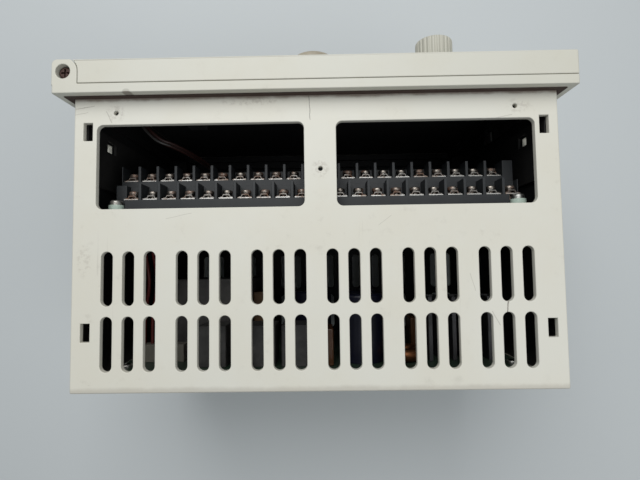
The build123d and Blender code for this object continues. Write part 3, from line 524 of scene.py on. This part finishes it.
# tint, darker tint, cloud size, cloud amount and the shader's fixed values
clearPlastics = {
    "smokedWindow": ((0.10, 0.015, 0.012), (0.05, 0.008, 0.008), 20 * mm, 0.4,
                     {"transmission": 0.85, "roughness": 0.06, "ior": 1.49, "specular": 0.5}),
    "glassTube": ((0.92, 0.95, 0.94), (0.75, 0.8, 0.78), 3 * mm, 0.3,
                  {"transmission": 0.95, "roughness": 0.04, "ior": 1.5}),
}
for name, (tint, dark, size, amount, fixed) in clearPlastics.items():
    shade = Finish(name, **fixed)
    shade.set(colour=shade.mix(shade.noise(size) * amount, tint, dark))
print("finishes:", len(finishes))

# each node's finish, and how wide its worn edges are in millimetres; 0 leaves it as it is
nodeLook = {
    "rear_case": ("caseAbs", 0.35), "bezel_frame": ("bezelAbs", 0.4),
    "door_panel": ("bezelAbs", 0.35), "panel_gasket": ("foam", 0.2),
    "bezel_frame_screws": ("plainScrew", 0.1), "hinge_screws": ("darkScrew", 0.1),
    "latch_strike": ("tinPlate", 0.1), "front_overlay": ("film", 0),
    "display_window": ("smokedWindow", 0.2), "display_module": ("displayFace", 0.2),
    "display_board": ("greenBoard", 0), "display_board_screws": ("plainScrew", 0.1),
    # door_shield is a near-black sheet put in for the shade behind the door
    "door_shield": ("shadowSheet", 0.1), "terminal_spring_washers": ("clampSteel", 0.05),
    "status_leds": ("redLens", 0.3), "led_board": ("greenBoard", 0),
    "key_switches": ("blackPlastic", 0.2), "knob": ("knobAbs", 0.12),
    "key_1": ("keyPlastic", 0.15), "key_2": ("keyPlastic", 0.15),
    "key_3": ("keyPlastic", 0.15), "key_4": ("keyPlastic", 0.15),
    "knob_set_screw": ("darkScrew", 0), "potentiometer_shaft": ("brassShaft", 0.15),
    "potentiometer_body": ("tinPlate", 0.2), "potentiometer_nut": ("plainScrew", 0.15),
    "button_collar": ("collarPlastic", 0.2), "button_switch": ("blackPlastic", 0.2),
    "round_button": ("buttonPlastic", 0.2), "button_spring": ("plainScrew", 0),
    "terminal_block": ("blockPlastic", 0.18), "terminal_plates": ("tinPlate", 0.1),
    "terminal_clamps": ("clampSteel", 0.08), "terminal_screws": ("nickelScrew", 0.08),
    "block_washers": ("fibreWasher", 0.15), "block_mounting_screws": ("plainScrew", 0.1),
    "terminal_board": ("greenBoard", 0.1), "terminal_board_screws": ("plainScrew", 0.1),
    # the side plates carry painted shade as their colour
    "left_side_plate": ("shadedChassis", 0.15), "right_side_plate": ("shadedChassis", 0.15),
    "power_board": ("greenBoard", 0.1), "power_board_standoffs": ("tinPlate", 0.1),
    "power_board_screws": ("plainScrew", 0.1), "transformer_core": ("lamination", 0.3),
    "transformer_coil": ("amberTape", 0.4), "smoothing_capacitors": ("capSleeve", 0.3),
    "film_capacitors": ("dippedResin", 0.2), "relays": ("relayCover", 0.3),
    "choke": ("copperWire", 0), "heat_sink": ("aluminium", 0.15),
    "power_transistors": ("blackPlastic", 0.2), "fuse": ("glassTube", 0.2),
    "fuse_clips": ("tinPlate", 0.1), "control_chips": ("blackPlastic", 0.2),
    "board_connectors": ("creamPlug", 0.3), "door_cable_plug": ("blackPlastic", 0.3),
    "case_cable_plug": ("blackPlastic", 0.3), "door_cable": ("cableSheath", 0),
    "case_cable": ("cableSheath", 0), "power_wires": ("redWire", 0),
}
bodyOf = {node: body for body, nodes in frame["record"]["behaviour"]["bodies"].items()
          for node in nodes}

# angles are in degrees; stray is a share of the edge's own width
edgeLook = {"weld": 2e-6, "flat": 1.0, "sharp": 32, "segments": 2, "profile": 0.6,
            "stray": 0.6, "smooth": 38}


def newPiece(name, finish):
    mesh = bpy.data.meshes.new(name)
    piece = bpy.data.objects.new(name, mesh)
    bpy.context.collection.objects.link(piece)
    mesh.materials.append(finishes[finish])
    return piece


def fillPiece(piece, shape):
    shape.to_mesh(piece.data)
    shape.free()


def smoothEdges(mesh, limit):
    for face in mesh.polygons:
        face.use_smooth = True
    mesh.set_sharp_from_angle(angle=math.radians(limit))


def refine(node, finish, edge):
    # the node's own shape with its sharp edges rounded off
    piece = newPiece(node + "_shape", finish)
    shape = bmesh.new()
    shape.from_mesh(frame["nodes"][node].data)
    bmesh.ops.remove_doubles(shape, verts=shape.verts, dist=edgeLook["weld"])
    bmesh.ops.dissolve_limit(shape, angle_limit=math.radians(edgeLook["flat"]),
                             verts=shape.verts, edges=shape.edges)
    sharp = [line for line in shape.edges if len(line.link_faces) == 2
             and line.calc_face_angle(0) > math.radians(edgeLook["sharp"])]
    surface = BVHTree.FromBMesh(shape)
    across = list(zip(*(vertex.co for vertex in shape.verts)))
    limits = [min(axis) for axis in across], [max(axis) for axis in across]
    bmesh.ops.bevel(shape, geom=sharp, offset=edge * mm, segments=edgeLook["segments"],
                    profile=edgeLook["profile"], affect="EDGES", clamp_overlap=False)
    # where a corner is too tight, its points go back on the node's surface and inside its box
    for vertex in shape.verts:
        nearest, normal, face, gap = surface.find_nearest(vertex.co)
        if gap > edgeLook["stray"] * edge * mm:
            vertex.co = nearest
        vertex.co = [min(max(value, low), high)
                     for value, low, high in zip(vertex.co, *limits)]
    fillPiece(piece, shape)
    smoothEdges(piece.data, edgeLook["smooth"])
    weighted = piece.modifiers.new("weighted", "WEIGHTED_NORMAL")
    weighted.keep_sharp = True
    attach(piece, bodyOf[node])
    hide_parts(node)


for node, (finish, edge) in nodeLook.items():
    if edge > 0:
        refine(node, finish, edge)
    else:
        slots = frame["nodes"][node].data.materials
        slots.clear()
        slots.append(finishes[finish])
print("nodes finished:", len(nodeLook), "of", len(frame["nodes"]))


def boxes(name, node, finish, corners):
    # small blocks on a node's body; corners are in millimetres from the object's origin
    piece = newPiece(name, finish)
    shape = bmesh.new()
    for x0, x1, y0, y1, z0, z1 in corners:
        made = bmesh.ops.create_cube(shape, size=1)
        for vertex in made["verts"]:
            near = [low if side < 0 else high for side, low, high in
                    zip(vertex.co, (x0, y0, z0), (x1, y1, z1))]
            vertex.co = Vector(near) * mm
    fillPiece(piece, shape)
    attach(piece, bodyOf[node])


# the unlit bars of the display, in millimetres; barWidth and barHeight are shares
displayDigits = {
    "centre": (-34.0, 45.0), "half": (46.0, 12.5), "count": 6, "front": 65.5,
    "barWidth": 0.52, "barHeight": 1.1, "thick": 1.9, "gap": 1.4, "sunk": 0.3, "proud": 0.04,
}


def digitBars(look):
    bars = []
    pitch = 2 * look["half"][0] / look["count"]
    width, height = pitch * look["barWidth"], look["half"][1] * look["barHeight"]
    thick, gap = look["thick"], look["gap"]
    depth = (look["front"] - look["sunk"], look["front"] + look["proud"])
    for place in range(look["count"]):
        x = look["centre"][0] - look["half"][0] + pitch * (place + 0.5)
        for level in (-1, 0, 1):
            z = look["centre"][1] + level * height / 2
            bars.append((x - width / 2 + gap, x + width / 2 - gap, *depth,
                         z - thick / 2, z + thick / 2))
        for side in (-1, 1):
            for level in (-1, 1):
                edge = x + side * width / 2
                z = look["centre"][1] + level * height / 4
                bars.append((edge - thick / 2, edge + thick / 2, *depth,
                             z - height / 4 + gap, z + height / 4 - gap))
    return bars


# the legs down both long sides of each chip; chips are x, z, width and height
chipLegs = {
    "chips": ((-60.0, 55.0, 26.0, 10.0), (-20.0, 55.0, 34.0, 14.0), (30.0, 55.0, 26.0, 10.0),
              (66.0, 51.0, 18.0, 10.0)),
    "pitch": 2.54, "half": 0.3, "inward": 0.2, "outward": 1.3, "board": -3.7, "lift": 1.9,
}


def legs(look):
    made = []
    for x, z, width, height in look["chips"]:
        count = int(width / look["pitch"]) - 1
        for place in range(count):
            middle = x + (place - (count - 1) / 2) * look["pitch"]
            for side in (-1, 1):
                edge = z + side * height / 2
                low, high = sorted((edge - side * look["inward"], edge + side * look["outward"]))
                made.append((middle - look["half"], middle + look["half"],
                             look["board"], look["board"] + look["lift"], low, high))
    return made


# the wires between the case and the door, in millimetres; each is shifted off the line
loopWires = {
    "line": ((-75.2, 54.7, 107.0), (-98.6, 54.7, 112.0), (-86.5, 39.9, 114.2),
             (-78.0, 38.3, 108.0), (-66.0, 33.0, 82.0), (-56.0, 21.0, 75.0),
             (-56.0, 6.1, 75.0)),
    "radius": 0.75, "steps": 10, "spokes": 10, "smooth": 60,
    "wires": (("loop_wire_1", "strandGrey", (-0.7, -0.5, 0.8)),
              ("loop_wire_2", "strandRed", (0.9, 0.6, 0.0)),
              ("loop_wire_3", "strandGrey", (0.0, 0.2, -1.0)),
              ("loop_wire_4", "strandRed", (0.3, -0.9, -0.3))),
}


def smoothLine(knots, steps):
    # curves from the middle of one run to the middle of the next
    line = []
    for before, corner, after in zip(knots, knots[1:], knots[2:]):
        start = (before + corner) / 2 if before is not knots[0] else before
        end = (corner + after) / 2 if after is not knots[-1] else after
        for step in range(steps):
            t = step / steps
            line.append(start.lerp(corner, t).lerp(corner.lerp(end, t), t))
    return line + [knots[-1]]


def strand(name, finish, shift):
    # one wire, as a tube along its line
    line = smoothLine([Vector(point) + Vector(shift) for point in loopWires["line"]],
                      loopWires["steps"])
    spokes = loopWires["spokes"]
    piece = newPiece(name, finish)
    shape = bmesh.new()
    rings = []
    for place, centre in enumerate(line):
        ahead = line[min(place + 1, len(line) - 1)] - line[max(place - 1, 0)]
        turn = ahead.to_track_quat("Z", "X")
        ring = []
        for spoke in range(spokes):
            angle = 2 * math.pi * spoke / spokes
            out = turn @ Vector((math.cos(angle), math.sin(angle), 0))
            ring.append(shape.verts.new((centre + out * loopWires["radius"]) * mm))
        rings.append(ring)
    for first, second in zip(rings, rings[1:]):
        for spoke in range(spokes):
            after = (spoke + 1) % spokes
            shape.faces.new((first[spoke], first[after], second[after], second[spoke]))
    shape.faces.new(reversed(rings[0]))
    shape.faces.new(rings[-1])
    bmesh.ops.recalc_face_normals(shape, faces=shape.faces)
    fillPiece(piece, shape)
    smoothEdges(piece.data, loopWires["smooth"])
    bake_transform(piece)
    return piece


boxes("display_digits", "display_module", "digitRed", digitBars(displayDigits))
boxes("chip_legs", "control_chips", "tinPlate", legs(chipLegs))
strands = [strand(*wire) for wire in loopWires["wires"]]
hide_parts("case_cable")
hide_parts("door_cable")
print("details added")

# floor, lights and the main view; powers are in watts, lengths in metres
studio = {
    "floor": (0.52, 0.545, 0.55),
    "floorSize": 8,
    "world": (0.80, 0.86, 0.90),
    "worldStrength": 0.40,
    "lampTarget": (0, 0, 0.1),
    "lampSize": 0.6,
    "lamps": {"keyLight": ((-0.09, 0.42, 0.72), 4.8), "fillLight": ((0.45, -0.35, 0.8), 2.0)},
}
mainView = {"place": (0.0042, -0.0284, 0.3397), "turn": (3.30, 0.75, -0.82), "lens": 23.94,
            "nearest": 0.005}

floorShade = Finish("floorPaint", specular=0.2, roughness=0.75)
floorShade.set(colour=floorShade.mix(floorShade.noise(0.25) * 0.25, studio["floor"],
                                     tuple(c * 0.9 for c in studio["floor"])))
bpy.ops.mesh.primitive_plane_add(size=studio["floorSize"])
floor = bpy.context.object
floor.name = "floor"
floor.data.materials.append(floorShade.material)

for name, (place, power) in studio["lamps"].items():
    lamp = bpy.data.lights.new(name, "AREA")
    lamp.energy = power
    lamp.size = studio["lampSize"]
    holder = bpy.data.objects.new(name, lamp)
    holder.location = place
    aim = Vector(studio["lampTarget"]) - Vector(place)
    holder.rotation_euler = aim.to_track_quat("-Z", "Y").to_euler()
    bpy.context.collection.objects.link(holder)

world = bpy.data.worlds.new("studio")
bpy.context.scene.world = world
world.use_nodes = True
background = world.node_tree.nodes["Background"]
background.inputs[0].default_value = (*studio["world"], 1)
background.inputs[1].default_value = studio["worldStrength"]

camera = bpy.data.objects.new("camera", bpy.data.cameras.new("camera"))
camera.location = mainView["place"]
camera.rotation_euler = [math.radians(angle) for angle in mainView["turn"]]
camera.data.lens = mainView["lens"]
camera.data.clip_start = mainView["nearest"]
bpy.context.collection.objects.link(camera)
bpy.context.scene.camera = camera
bpy.context.scene.view_settings.view_transform = "Standard"
print("stage set")
